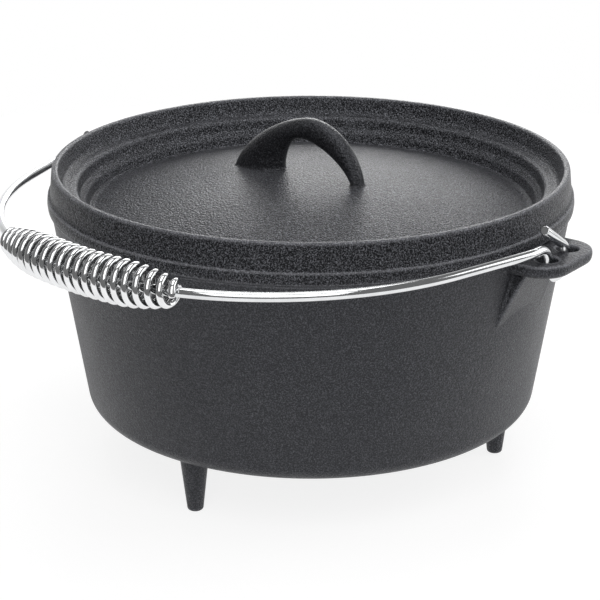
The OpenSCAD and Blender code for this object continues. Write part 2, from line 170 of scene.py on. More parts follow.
class OvenBailSizes(bpy.types.PropertyGroup):
    """Sizes of the wire bail."""

    wire_d: length("Wire", "Diameter of the wire", 0.0055)
    hinge_x: length("Hinge half width", "Distance of each eye from the middle", 0.1713)
    hinge_z: length("Hinge height", "Height of the hinge line", 0.1588)
    eye_r: length("Eye radius", "Radius of the eye to the middle of the wire", 0.0097)
    eye_end: turn("Eye end", "Angle at which the hook's tip leaves the eye", 57)
    tip_len: length("Tip length", "Length of the hook's straight tip", 0.025)
    tip_round: length("Tip rounding", "Rounding of the cut end", 0.0006)
    left_short: length("Left tip cut", "How much shorter the left hook's tip is cut", 0.0048)
    shoulder_r: length("Shoulder radius", "Radius of the bend above the ear", 0.011)
    bend_r: length("Bend radius", "Radius of the bend in front of the shoulder", 0.036)
    lean: turn("Lean", "Angle by which each side leans in", 16)
    draw_in: length("Draw in", "How much less the bow's radius is than the hinge half width", 0.0094)


class OvenGripSizes(bpy.types.PropertyGroup):
    """Sizes of the coil grip."""

    span: length("Length", "Length between the middles of the end turns", 0.132)
    turns: number("Turns", "Number of turns", 20.5)
    wire_d: length("Wire", "Diameter of the coil's wire", 0.004)
    outer_d: length("Diameter", "Outer diameter in the middle", 0.026)
    taper_turns: number("Taper turns", "Turns over which each end closes", 5.5)
    end_play: length("End play", "Radial play of the end turns on the bail", 0.0012)
    hang: length("Hang", "How far the coil hangs below the bail wire's middle", 0.0008)
    middle_gap: length("Middle gap", "Gap between the bail and the middle turns", 0.0006)
    end_round: length("End rounding", "Rounding of the wire's cut ends", 0.0004)
    slid: turn("Slid", "Angle around the bow by which the coil has slid to the left", 5.5)


class OvenFinishes(bpy.types.PropertyGroup):
    """Colours and textures of the materials."""

    pot_colour: colour("Pot iron", "Seasoned iron of the pot", (0.0075, 0.0078, 0.0092))
    lid_colour: colour("Lid iron", "Seasoned iron of the lid", (0.0047, 0.0049, 0.0058))
    handle_colour: colour("Handle iron", "Seasoned iron of the handle", (0.0047, 0.0049, 0.0058))
    # Bright dots in the iron's colour: partly grains of uncovered iron, partly painted glints of light on
    # the sandy casting's bumps.
    pot_grain_glint: colour("Pot grains and glints", "Bright grains and painted glints in the pot's casting", (0.23, 0.235, 0.259))
    lid_grain_glint: colour("Lid grains and glints", "Bright grains and painted glints in the lid's casting", (0.37, 0.378, 0.415))
    handle_grain_glint: colour("Handle grains and glints", "Bright grains and painted glints in the smoother handle", (0.12, 0.122, 0.135))
    pot_rough: share("Pot roughness", "Middle roughness of the pot", 0.42)
    lid_rough: share("Lid roughness", "Middle roughness of the lid", 0.33)
    handle_rough: share("Handle roughness", "Middle roughness of the lid's handle", 0.3)
    pot_gloss: share("Pot gloss", "Strength of the pot's gloss", 0.45)
    lid_gloss: share("Lid gloss", "Strength of the lid's gloss", 0.17)
    handle_gloss: share("Handle gloss", "Strength of the handle's gloss", 0.42)
    pot_lump_h: length("Pot lumps", "Height of the lumps in the pot's face", 0.0008)
    lid_lump_h: length("Lid lumps", "Height of the lumps in the lid's face", 0.0009)
    handle_lump_h: length("Handle lumps", "Height of the lumps in the handle's face", 0.0008)
    gloss_tint: colour("Gloss tint", "Cool tint of the iron's gloss", (0.90, 0.925, 1.0))
    grain: length("Grain", "Size of the casting's sandy grain", 0.0008)
    # Convex edges are lightened: partly iron rubbed bright by handling, partly a painted highlight where
    # light catches the edges.
    wear_and_highlight_colour: colour("Rubbed and highlit edges", "Iron rubbed bright by handling, with a painted highlight", (0.68, 0.69, 0.74))
    wear_and_highlight_reach: length("Wear and highlight reach", "How far in from an edge the rubbing and painted highlight go", 0.0016)
    bail_colour: colour("Bail wire", "Bright plating of the bail", (0.80, 0.81, 0.82))
    coil_colour: colour("Coil wire", "Bright plating of the coil", (0.86, 0.865, 0.875))
    wire_rough: share("Wire roughness", "Middle roughness of the plated wire", 0.09)
    # Painted shade: a dark colour laid on the wire where its turns lie close and shade each other, and how
    # far that reaches.
    painted_shade_colour: colour("Painted shade", "Soot between the turns of the wire", (0.05, 0.05, 0.052))
    painted_shade_reach: length("Soot reach", "Distance over which turns shade each other", 0.02)
    floor_colour: colour("Floor", "Pale studio floor", (0.28, 0.28, 0.28))


class OvenSettings(bpy.types.PropertyGroup):
    """Everything that a user would change."""

    pot: bpy.props.PointerProperty(type=OvenPotSizes, name="Pot", description="Sizes of the pot")
    lid: bpy.props.PointerProperty(type=OvenLidSizes, name="Lid", description="Sizes of the lid")
    bail: bpy.props.PointerProperty(type=OvenBailSizes, name="Bail", description="Sizes of the bail")
    grip: bpy.props.PointerProperty(type=OvenGripSizes, name="Grip", description="Sizes of the grip")
    finish: bpy.props.PointerProperty(type=OvenFinishes, name="Finish", description="Colours and textures")


def settings():
    """The oven's sizes and finishes."""
    return bpy.context.scene.oven


def add_object(name, bm):
    """Puts a bmesh into the scene as an object."""
    mesh = bpy.data.meshes.new(name)
    bm.to_mesh(mesh)
    bm.free()
    item = bpy.data.objects.new(name, mesh)
    bpy.context.scene.collection.objects.link(item)
    return item


def remove_object(item):
    """Takes an object and its mesh away again."""
    mesh = item.data
    bpy.data.objects.remove(item)
    bpy.data.meshes.remove(mesh)


def add_piece(name, bm, finish, body, nodes=()):
    """Makes a smooth piece from a bmesh. It rides on a body and stands for CAD nodes."""
    if not bm.faces:
        raise RuntimeError(f"{name} has no faces")
    for face in bm.faces:
        face.smooth = True
    piece = add_object(name, bm)
    piece.data.materials.append(finish)
    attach(piece, body)
    if nodes:
        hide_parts(*nodes)
    return piece


def even_shading(piece):
    """Lets the large faces beside a narrow rounding keep their own direction."""
    weighted = piece.modifiers.new("even shading", 'WEIGHTED_NORMAL')
    weighted.mode = 'FACE_AREA'
    weighted.weight = 80


def whole(bm):
    """All vertices, edges and faces of a bmesh."""
    return bm.verts[:] + bm.edges[:] + bm.faces[:]


def verts_in(geometry):
    """Vertices among what an operator gave back."""
    return [item for item in geometry if isinstance(item, bmesh.types.BMVert)]


def edges_in(geometry):
    """Edges among what an operator gave back."""
    return [item for item in geometry if isinstance(item, bmesh.types.BMEdge)]


def edges_of(verts):
    """Edges that start or end at some vertices."""
    return list({edge for vert in verts for edge in vert.link_edges})


def draw_wire(bm, points, start=None):
    """Wire through (radius, height) points in the XZ plane, going on from a vertex if one is given."""
    verts = [] if start is None else [start]
    for x, z in points:
        verts.append(bm.verts.new((x, 0, z)))
    for pair in zip(verts, verts[1:]):
        bm.edges.new(pair)
    return verts


def bevel(bm, geom, offset, segments, affect='EDGES'):
    """Rounds edges, or the corners of a wire."""
    bmesh.ops.bevel(
        bm, geom=geom, offset=offset, offset_type='OFFSET', affect=affect, segments=segments, profile=0.5,
        material=-1)


def round_corner(bm, vert, radius, segments=6):
    """Rounds a corner of a wire to a radius."""
    first, second = (edge.other_vert(vert).co - vert.co for edge in vert.link_edges)
    bevel(bm, [vert], radius / tan(first.angle(second) / 2), segments, affect='VERTICES')


def lathe(bm, steps):
    """Turns a wire that starts and ends on the Z axis into a closed body."""
    bmesh.ops.spin(
        bm, geom=bm.verts[:] + bm.edges[:], cent=(0, 0, 0), axis=(0, 0, 1), angle=tau, steps=steps,
        use_merge=True)
    bmesh.ops.remove_doubles(bm, verts=bm.verts, dist=SAME_SPOT)
    bmesh.ops.recalc_face_normals(bm, faces=bm.faces)


def copy_turned(bm, geom, angle):
    """Copies part of a bmesh and turns the copy around the Z axis."""
    copy = bmesh.ops.duplicate(bm, geom=geom)["geom"]
    bmesh.ops.rotate(bm, verts=verts_in(copy), cent=(0, 0, 0), matrix=Matrix.Rotation(angle, 3, 'Z'))


def cast_skin(rough, voxel, smoothing):
    """Replaces an object by a bmesh that is one skin with soft inner corners, as in a casting."""
    remesh = rough.modifiers.new("fuse", 'REMESH')
    remesh.mode = 'VOXEL'
    remesh.voxel_size = voxel
    soften = rough.modifiers.new("soften", 'SMOOTH')
    soften.factor = 0.5
    soften.iterations = smoothing
    skin = bpy.data.meshes.new_from_object(rough.evaluated_get(bpy.context.evaluated_depsgraph_get()))
    bm = bmesh.new()
    bm.from_mesh(skin)
    bpy.data.meshes.remove(skin)
    remove_object(rough)
    return bm


def extrude_ring(bm, edges, matrix):
    """Extrudes a ring of edges and moves the new ring by a matrix."""
    geometry = bmesh.ops.extrude_edge_only(bm, edges=edges)["geom"]
    bmesh.ops.transform(bm, matrix=matrix, verts=verts_in(geometry))
    return [edge for edge in edges_in(geometry) if edge.is_boundary]


def spin_ring(bm, edges, centre, axis, angle, steps):
    """Sweeps a ring of edges around an axis and returns the ring at the end."""
    verts = list({vert for edge in edges for vert in edge.verts})
    swept = bmesh.ops.spin(
        bm, geom=verts + edges, cent=centre, axis=axis, angle=angle, steps=steps, use_merge=False)
    return edges_in(swept["geom_last"])


def start_wire(bm, radius, rounding, sides, place):
    """Rounded end of a wire along +Z, moved by a matrix; returns the ring to sweep on from."""
    flat_r, steps = radius - rounding, 4
    edges = edges_of(bmesh.ops.create_circle(bm, cap_ends=True, radius=flat_r, segments=sides)["verts"])
    angles = [pi / 2 * step / steps for step in range(steps + 1)]
    for before, after in zip(angles, angles[1:]):
        rise = rounding * (cos(before) - cos(after))
        wider = (flat_r + rounding * sin(after)) / (flat_r + rounding * sin(before))
        move = Matrix.Translation((0, 0, rise)) @ Matrix.Diagonal((wider, wider, 1, 1))
        edges = extrude_ring(bm, edges, move)
    bmesh.ops.transform(bm, matrix=place, verts=bm.verts)
    return edges


def dome_arc(bm, top_z, sphere_r, edge_r, steps=24):
    """Arc of a dome in the XZ plane, from its top to its edge; returns the vertex at the edge."""
    top = bm.verts.new((0, 0, top_z))
    swept = bmesh.ops.spin(
        bm, geom=[top], cent=(0, 0, top_z - sphere_r), axis=(0, 1, 0), angle=asin(edge_r / sphere_r),
        steps=steps, use_merge=False)
    return verts_in(swept["geom_last"])[0]


def set_inputs(tree, node, inputs):
    """Links each of a node's inputs to a socket, or sets it to a value."""
    for key, value in inputs.items():
        if isinstance(value, bpy.types.NodeSocket):
            tree.links.new(value, node.inputs[key])
        else:
            node.inputs[key].default_value = value


def add_node(tree, kind, inputs=None, **values):
    """Adds a node with its own values, then its inputs."""
    node = tree.nodes.new(kind)
    for name, value in values.items():
        setattr(node, name, value)
    set_inputs(tree, node, inputs or {})
    return node


def noise(tree, place, scale, detail, roughness=0.5):
    """Noise at a place, about 0.3 to 0.7."""
    node = add_node(tree, "ShaderNodeTexNoise", {
        "Vector": place, "Scale": scale, "Detail": detail, "Roughness": roughness})
    return node.outputs["Fac"]


def ramp(tree, value, first, last, interpolation='LINEAR'):
    """Colour ramp between two stops, each a position and a colour."""
    node = add_node(tree, "ShaderNodeValToRGB", {"Fac": value})
    node.color_ramp.interpolation = interpolation
    for element, (position, shade) in zip(node.color_ramp.elements, (first, last)):
        element.position = position
        element.color = (*shade, 1)
    return node.outputs["Color"]


def spread(tree, value, low, high, start=0.3, end=0.7):
    """Takes a value from the range of a noise, or another range, to a new range."""
    node = add_node(tree, "ShaderNodeMapRange", {
        "Value": value, "From Min": start, "From Max": end, "To Min": low, "To Max": high})
    return node.outputs["Result"]


def reckon(tree, operation, first, second):
    """Two values put together by an operation of the Math node."""
    return add_node(tree, "ShaderNodeMath", {0: first, 1: second}, operation=operation).outputs["Value"]


def mix(tree, share_above, below, above):
    """Mixes one colour over another."""
    node = add_node(
        tree, "ShaderNodeMix", {"Factor": share_above, "A": below, "B": above}, data_type='RGBA')
    return node.outputs["Result"]


def bump(tree, inputs):
    """Normal that is bent by a height."""
    return add_node(tree, "ShaderNodeBump", inputs).outputs["Normal"]


def start_finish(name):
    """New material, with its node tree and its shader."""
    material = bpy.data.materials.new(name)
    material.use_nodes = True
    return material, material.node_tree, material.node_tree.nodes["Principled BSDF"]


def own_place(tree):
    """Coordinates that go with the piece."""
    return add_node(tree, "ShaderNodeTexCoord").outputs["Object"]


def iron_finish(part):
    """Seasoned cast iron: sandy grain, bright dots that are partly grains of uncovered iron and partly
    painted glints, patches of thicker seasoning, and edges partly rubbed bright and partly painted
    highlight.
    """
    name = f"{part} iron"
    if name in bpy.data.materials:
        return bpy.data.materials[name]
    finish = settings().finish
    base, grain_glint_colour, rough, gloss, lump_h = (
        getattr(finish, f"{part}_{value}") for value in ("colour", "grain_glint", "rough", "gloss", "lump_h"))
    material, tree, shader = start_finish(name)
    place = own_place(tree)
    grain = noise(tree, place, 1 / finish.grain, detail=3, roughness=0.75)
    lumps = noise(tree, place, 0.62 / finish.grain, detail=1)
    fine = noise(tree, place, 2.6 / finish.grain, detail=2)
    patches = noise(tree, place, 16, detail=5, roughness=0.6)
    seasoned = ramp(tree, patches, (0.35, [0.72 * c for c in base]), (0.68, [1.35 * c for c in base]))
    # Painted glints and grain: bright dots laid over the seasoned colour stand partly for the casting's
    # sandy grains and partly for glints of light on them.
    grain_glint = ramp(tree, grain, (0.48, BLACK), (0.72, WHITE))
    sandy = mix(tree, grain_glint, seasoned, (*grain_glint_colour, 1))
    # Painted highlight and wear: convex edges, found by occlusion inside the piece, are lightened towards
    # the bright edge colour, partly as rubbed iron and partly as a painted highlight.
    inside = add_node(
        tree, "ShaderNodeAmbientOcclusion", {"Distance": finish.wear_and_highlight_reach}, inside=True, only_local=True,
        samples=8)
    edge = ramp(tree, inside.outputs["AO"], (0.66, WHITE), (0.97, BLACK))
    wear_highlight_mask = reckon(tree, 'MULTIPLY', edge, spread(tree, grain, 0.45, 1))
    uneven = spread(tree, patches, rough - 0.05, rough + 0.07)
    lumpy = bump(tree, {"Height": lumps, "Strength": 0.8, "Distance": lump_h})
    set_inputs(tree, shader, {
        "Base Color": mix(tree, wear_highlight_mask, sandy, (*finish.wear_and_highlight_colour, 1)),
        "Specular IOR Level": gloss,
        "Specular Tint": (*finish.gloss_tint, 1),
        "Roughness": reckon(tree, 'ADD', uneven, spread(tree, fine, -0.06, 0.06)),
        "Normal": bump(tree, {"Height": fine, "Strength": 0.5, "Distance": 0.12 * lump_h, "Normal": lumpy}),
    })
    return material


def wire_finish(part):
    """Bright plated wire: faint drawing marks, an uneven gloss, and painted shade where turns hide each
    other from the light.
    """
    name = f"{part} plating"
    if name in bpy.data.materials:
        return bpy.data.materials[name]
    finish = settings().finish
    base, rough = getattr(finish, f"{part}_colour"), finish.wire_rough
    material, tree, shader = start_finish(name)
    place = own_place(tree)
    cloud = noise(tree, place, 140, detail=4)
    marks = noise(tree, place, 900, detail=3)
    tint = ramp(tree, cloud, (0.3, [0.9 * c for c in base]), (0.7, base))
    # Painted shade: occlusion by nearby turns of the same wire darkens the plating's colour towards the
    # painted shade colour.
    shaded = add_node(
        tree, "ShaderNodeAmbientOcclusion", {"Distance": finish.painted_shade_reach}, only_local=True, samples=8)
    unshaded_share = spread(tree, shaded.outputs["AO"], 0, 1, start=0.36, end=0.60)
    set_inputs(tree, shader, {
        "Base Color": mix(tree, unshaded_share, (*finish.painted_shade_colour, 1), tint),
        "Metallic": 1,
        "Roughness": spread(tree, cloud, rough - 0.04, rough + 0.05),
        "Normal": bump(tree, {"Height": marks, "Strength": 0.25, "Distance": 0.00006}),
    })
    return material


def wall_r(pot, z):
    """Outer radius of the pot's wall at a height above the ground."""
    return pot.floor_r + (pot.rim_r - pot.floor_r) * (z - pot.leg_h) / pot.depth


def rim_z():
    """Height of the pot's rim above the ground."""
    pot = settings().pot
    return pot.leg_h + pot.depth


class OvenPotShell(bpy.types.Operator):
    """Turn the pot's shell from its section"""

    bl_idname = "oven.pot_shell"
    bl_label = "Pot shell"

    def execute(self, context):
        pot = settings().pot
        top, floor_top = rim_z(), pot.leg_h + pot.floor_t
        bm = bmesh.new()
        _, corner, rim, inner_rim, inner_corner, _ = draw_wire(bm, [
            (0, pot.leg_h),
            (pot.floor_r, pot.leg_h),
            (pot.rim_r, top),
            (pot.rim_r - pot.wall, top),
            (wall_r(pot, floor_top) - pot.wall, floor_top),
            (0, floor_top),
        ])
        round_corner(bm, corner, pot.corner_r, segments=10)
        round_corner(bm, rim, pot.rim_round, segments=4)
        round_corner(bm, inner_rim, pot.rim_round, segments=4)
        round_corner(bm, inner_corner, pot.inner_corner_r, segments=8)
        lathe(bm, ROUND_STEPS)
        even_shading(add_piece("pot_shell", bm, iron_finish("pot"), "pot", ["pot"]))
        return {'FINISHED'}


class OvenPotLegs(bpy.types.Operator):
    """Turn the tapered legs and set them under the pot"""

    bl_idname = "oven.pot_legs"
    bl_label = "Pot legs"

    def execute(self, context):
        pot = settings().pot
        root_w, root_top = pot.leg_root_r + pot.leg_fillet, pot.leg_h + pot.floor_t / 2
        flare_h = 0.001
        bm = bmesh.new()
        _, foot, root, *_ = draw_wire(bm, [
            (0, 0),
            (pot.leg_foot_r, 0),
            (pot.leg_root_r, pot.leg_h - flare_h),
            (root_w, pot.leg_h + flare_h),
            (root_w, root_top),
            (0, root_top),
        ])
        round_corner(bm, foot, pot.leg_foot_round)
        round_corner(bm, root, pot.leg_fillet, segments=10)
        lathe(bm, steps=64)
        bmesh.ops.translate(bm, verts=bm.verts, vec=(0, -pot.leg_circle_r, 0))
        leg = whole(bm)
        for k in range(1, pot.leg_count):
            copy_turned(bm, leg, tau * k / pot.leg_count)
        even_shading(add_piece("pot_legs", bm, iron_finish("pot"), "pot"))
        return {'FINISHED'}


class OvenPotEars(bpy.types.Operator):
    """Model the ears with their holes and gussets, fused onto the wall"""

    bl_idname = "oven.pot_ears"
    bl_label = "Pot ears"

    def plate(self, bm, pot, hinge_z):
        """Flat ear with round outer corners and a strongly rounded underside."""
        inner_x, outer_x = pot.rim_r - pot.wall_root, pot.rim_r + pot.ear_reach
        half_t = pot.ear_t / 2

        def beyond_root(vert):
            margin = 0.001
            return vert.co.x > inner_x + margin

        cube = bmesh.ops.create_cube(bm, size=1)["verts"]
        bmesh.ops.scale(bm, vec=(outer_x - inner_x, pot.ear_w, pot.ear_t), verts=cube)
        bmesh.ops.translate(bm, vec=((inner_x + outer_x) / 2, 0, hinge_z), verts=cube)
        upright = [
            edge for edge in edges_of(cube)
            if all(beyond_root(vert) for vert in edge.verts)
            and abs(edge.verts[0].co.z - edge.verts[1].co.z) > half_t
        ]
        bevel(bm, upright, pot.ear_corner_r, segments=16)
        for z, rounding, segments in (
                (hinge_z - half_t, pot.ear_under_round, 7), (hinge_z + half_t, pot.ear_top_round, 3)):
            outline = [
                edge for edge in bm.edges
                if all(abs(vert.co.z - z) < 1e-5 for vert in edge.verts)
                and any(beyond_root(vert) for vert in edge.verts)
            ]
            bevel(bm, outline, rounding, segments)

    def gusset(self, bm, pot, hinge_z):
        """Wedge under the ear that widens downwards and runs out on the wall."""
        foot = hinge_z - pot.ear_t / 2 - pot.gusset_h
        foot_x = sqrt(wall_r(pot, foot) ** 2 - (pot.gusset_foot_w / 2) ** 2)
        block = bmesh.ops.create_cube(bm, size=1)["verts"]
        for vert in block:
            low, outer = vert.co.z < 0, vert.co.x > 0
            half_w = (pot.gusset_foot_w if low else pot.gusset_top_w) / 2
            z = foot if low else hinge_z
            x = wall_r(pot, z) - pot.wall_root
            if outer:
                x = foot_x if low else pot.rim_r + pot.gusset_reach
            vert.co = (x, half_w if vert.co.y > 0 else -half_w, z)

    def wall_patch(self, bm, pot, hinge_z):
        """Piece of the wall behind the ear, just under its face, that the ear's fillets run onto."""
        below_gusset, below_rim, depth, half_turn = 0.012, 0.002, 0.0045, radians(18)
        low = hinge_z - pot.ear_t / 2 - pot.gusset_h - below_gusset
        high = rim_z() - below_rim
        verts = draw_wire(bm, [
            (wall_r(pot, low) - depth, low),
            (wall_r(pot, low) - PATCH_INSET, low),
            (wall_r(pot, high) - PATCH_INSET, high),
            (wall_r(pot, high) - depth, high),
        ])
        face = bm.faces.new(verts)
        bmesh.ops.rotate(bm, verts=verts, cent=(0, 0, 0), matrix=Matrix.Rotation(-half_turn, 3, 'Z'))
        bmesh.ops.spin(
            bm, geom=[face], cent=(0, 0, 0), axis=(0, 0, 1), angle=2 * half_turn, steps=32, use_merge=False)

    def drill(self, ear, pot, bail):
        """Cuts the two holes and softens their edges."""
        cones = bmesh.new()
        for side in (-1, 1):
            spot = Matrix.Translation((bail.hinge_x, side * pot.ear_hole_y, bail.hinge_z))
            bmesh.ops.create_cone(
                cones, cap_ends=True, segments=64, radius1=pot.ear_hole_r, radius2=pot.ear_hole_r,
                depth=4 * pot.ear_t, matrix=spot)
        drills = add_object("drills", cones)
        cut = ear.modifiers.new("drill", 'BOOLEAN')
        cut.operation = 'DIFFERENCE'
        cut.solver = 'EXACT'
        cut.object = drills
        bm = cast_skin(ear, EAR_VOXEL, smoothing=4)
        remove_object(drills)
        return bm

    def execute(self, context):
        pot, bail = settings().pot, settings().bail
        bm = bmesh.new()
        self.plate(bm, pot, bail.hinge_z)
        self.gusset(bm, pot, bail.hinge_z)
        self.wall_patch(bm, pot, bail.hinge_z)
        bmesh.ops.recalc_face_normals(bm, faces=bm.faces)
        bm = cast_skin(add_object("ear", bm), EAR_VOXEL, smoothing=5)
        bm = self.drill(add_object("ear", bm), pot, bail)
        copy_turned(bm, whole(bm), pi)
        add_piece("pot_ears", bm, iron_finish("pot"), "pot")
        return {'FINISHED'}


def lid_radii(lid):
    """Radii of the corners on top of the lid, from the coal rim's foot to the dome's edge."""
    inward = (
        lid.rim_setback, lid.rim_lean, lid.rim_t, lid.rim_spread, lid.shelf_w, lid.riser_lean, lid.step_w,
        lid.riser_lean, lid.groove_w)
    radii = [lid.radius]
    for width in inward:
        radii.append(radii[-1] - width)
    return radii[1:]


def dome_form(lid):
    """Radius of the dome's sphere, and the height of its top above the pot's rim."""
    edge_r = lid_radii(lid)[-1]
    return (edge_r ** 2 + lid.dome_rise ** 2) / (2 * lid.dome_rise), lid.dome_rise - lid.groove_depth


class OvenLidPlate(bpy.types.Operator):
    """Turn the lid with its coal rim, steps, dome and lip"""

    bl_idname = "oven.lid_plate"
    bl_label = "Lid plate"

    def execute(self, context):
        lid = settings().lid
        (rim_foot_r, rim_top_r, rim_inner_r, shelf_outer_r, shelf_inner_r, step_outer_r, step_inner_r,
         groove_outer_r, dome_r) = lid_radii(lid)
        sphere_r, dome_top = dome_form(lid)
        edge = lid.edge_round
        # A little less than half of the rim's thickness rounds its whole top.
        rim_round = 0.46 * lid.rim_t
        bm = bmesh.new()
        inside = dome_arc(bm, dome_top - lid.thickness, sphere_r, dome_r)
        corners = [
            (groove_outer_r, -lid.groove_depth - lid.thickness, 2 * edge),
            (lid.lip_r - lid.lip_w, -lid.lip_depth, 2 * edge),
            (lid.lip_r - lid.lip_draft, -lid.lip_depth, edge),
            (lid.lip_r, 0, 0),
            (lid.radius - lid.flange_bulge, 0, edge),
            (lid.radius, lid.flange_h / 2, 2 * edge),
            (lid.radius - lid.flange_bulge, lid.flange_h, 0.5 * edge),
            (rim_foot_r, lid.flange_h + lid.ledge_rise, 0.4 * edge),
            (rim_top_r, lid.rim_h, rim_round),
            (rim_inner_r, lid.rim_h, rim_round),
            (shelf_outer_r, lid.shelf_h, lid.shelf_round),
            (shelf_inner_r, lid.shelf_h - lid.shelf_fall, lid.step_round),
            (step_outer_r, lid.step_h, lid.step_round),
            (step_inner_r, lid.step_h - lid.step_fall, lid.step_round),
            (groove_outer_r, -lid.groove_depth, edge),
        ]
        path = draw_wire(bm, [corner[:2] for corner in corners], start=inside)
        outside = dome_arc(bm, dome_top, sphere_r, dome_r)
        bm.edges.new((path[-1], outside))
        for vert, (_, _, rounding) in zip(path[1:], corners):
            if rounding:
                round_corner(bm, vert, rounding)
        round_corner(bm, outside, edge)
        lathe(bm, ROUND_STEPS)
        bmesh.ops.translate(bm, verts=bm.verts, vec=(0, 0, rim_z()))
        even_shading(add_piece("lid_plate", bm, iron_finish("lid"), "lid", ["lid"]))
        return {'FINISHED'}


class OvenLidHandle(bpy.types.Operator):
    """Model the horn-shaped handle, fused onto the dome"""

    bl_idname = "oven.lid_handle"
    bl_label = "Lid handle"

    def ring_place(self, lid, t, sink):
        """Matrix that takes a unit circle to the handle's ring at angle t, from foot to foot."""
        def arch(reach, height, fullness):
            # A fullness of 2 gives an ellipse, less a more pointed arch and more a squarer one.
            power = 2 / fullness
            return Vector((reach * abs(cos(t)) ** power, 0, height * max(sin(t), 0) ** power))

        gap_shift, foot_power = 0.2, 8
        rise, gap_rise = lid.handle_rise + sink, lid.gap_h + sink
        gap_top = Vector((-gap_shift * lid.gap_broad, 0, 0))
        if t < pi / 2:
            outer = arch(lid.slender_reach, rise, fullness=1.98)
            inner = gap_top + arch(lid.gap_slender - gap_top.x, gap_rise, fullness=1.5)
        else:
            outer = arch(-lid.broad_reach, rise, fullness=1.55)
            inner = gap_top + arch(-lid.gap_broad - gap_top.x, gap_rise, fullness=2.6)
        part = t / pi
        width = lid.slender_w * (1 - part) + lid.broad_w * part
        middle, reach = (outer + inner) / 2, (outer - inner) / 2
        across = Vector((0, width / 2 + lid.foot_spread * abs(cos(t)) ** foot_power, 0))
        place = Matrix((reach, across, reach.cross(across))).transposed().to_4x4()
        place.translation = middle
        return place

    def dome_patch(self, bm, lid):
        """Disc just under the dome's face that the handle's fillets run onto."""
        beyond_foot, depth = 0.012, 0.0042
        sphere_r, dome_top = dome_form(lid)
        reach = lid.broad_reach + beyond_foot
        disc = bmesh.new()
        outer = dome_arc(disc, dome_top - PATCH_INSET, sphere_r, reach, steps=12)
        inner = dome_arc(disc, dome_top - depth, sphere_r, reach, steps=12)
        disc.edges.new((outer, inner))
        lathe(disc, steps=96)
        patch = add_object("dome patch", disc)
        bm.from_mesh(patch.data)
        remove_object(patch)

    def execute(self, context):
        lid = settings().lid
        dome_top = dome_form(lid)[1]
        # The feet end inside the dome, so the arch starts this far below its top.
        sink = 0.9 * lid.thickness
        sides, rings = 40, 72
        bm = bmesh.new()
        circle = bmesh.ops.create_circle(bm, cap_ends=True, radius=1, segments=sides)["verts"]
        edges = edges_of(circle)
        place = self.ring_place(lid, 0, sink)
        bmesh.ops.transform(bm, matrix=place, verts=circle)
        for k in range(1, rings + 1):
            ahead = self.ring_place(lid, pi * k / rings, sink)
            edges = extrude_ring(bm, edges, ahead @ place.inverted())
            place = ahead
        bmesh.ops.contextual_create(bm, geom=edges)
        bmesh.ops.translate(bm, verts=bm.verts, vec=(0, 0, dome_top - sink))
        self.dome_patch(bm, lid)
        bmesh.ops.recalc_face_normals(bm, faces=bm.faces)
        bm = cast_skin(add_object("handle", bm), HANDLE_VOXEL, smoothing=7)
        bmesh.ops.translate(bm, verts=bm.verts, vec=(0, 0, rim_z()))
        add_piece("lid_handle", bm, iron_finish("handle"), "lid")
        return {'FINISHED'}


def bow_frame():
    """Radius of the bail's bow, how far forward its middle lies, and the length of a straight side."""
    bail = settings().bail
    bow_r = bail.hinge_x - bail.draw_in
    lean = bail.lean
    bend_x = bail.hinge_x - bail.bend_r * (1 - cos(lean))
    side_len = (bend_x - bow_r * cos(lean)) / sin(lean)
    bow_y = -bail.eye_r - bail.shoulder_r + (bow_r - bail.bend_r) * sin(lean) - side_len * cos(lean)
    return bow_r, bow_y, side_len


class OvenBailWire(bpy.types.Operator):
    """Bend the bail from one wire: hook, eye, shoulder, side and bow, mirrored"""

    bl_idname = "oven.bail_wire"
    bl_label = "Bail wire"

    def execute(self, context):
        bail = settings().bail
        _, bow_y, side_len = bow_frame()
        shoulder_y = -bail.eye_r - bail.shoulder_r
        level = bail.hinge_z + bail.shoulder_r
        eye = Vector((bail.hinge_x, 0, bail.hinge_z))
        shoulder = eye + Vector((0, shoulder_y, 0))
        bend = (bail.hinge_x - bail.bend_r, shoulder_y, level)
        side = side_len * Vector((-sin(bail.lean), -cos(bail.lean), 0))
        out = Vector((0, cos(bail.eye_end), sin(bail.eye_end)))
        along = Vector((0, sin(bail.eye_end), -cos(bail.eye_end)))
        tip = eye + bail.eye_r * out - bail.tip_len * along
        across, up = (1, 0, 0), (0, 0, 1)
        bm = bmesh.new()
        place = Matrix.Translation(tip) @ along.to_track_quat('Z', 'X').to_matrix().to_4x4()
        ring = start_wire(bm, bail.wire_d / 2, bail.tip_round, sides=28, place=place)
        ring = extrude_ring(bm, ring, Matrix.Translation((bail.tip_len - bail.tip_round) * along))
        ring = spin_ring(bm, ring, eye, across, -pi - bail.eye_end, steps=48)
        ring = spin_ring(bm, ring, shoulder, across, pi / 2, steps=20)
        ring = spin_ring(bm, ring, bend, up, -bail.lean, steps=8)
        ring = extrude_ring(bm, ring, Matrix.Translation(side))
        spin_ring(bm, ring, (0, bow_y, level), up, bail.lean - pi / 2, steps=64)
        bmesh.ops.mirror(bm, geom=whole(bm), axis='X', merge_dist=1e-5)
        bmesh.ops.remove_doubles(bm, verts=bm.verts, dist=SAME_SPOT)
        bmesh.ops.recalc_face_normals(bm, faces=bm.faces)
        left_tip = Vector((-tip.x, tip.y, tip.z))
        cut_end = [vert for vert in bm.verts if (vert.co - left_tip).length < bail.wire_d]
        bmesh.ops.translate(bm, verts=cut_end, vec=bail.left_short * along)
        add_piece("bail_wire", bm, wire_finish("bail"), "bail", ["bail"])
        return {'FINISHED'}


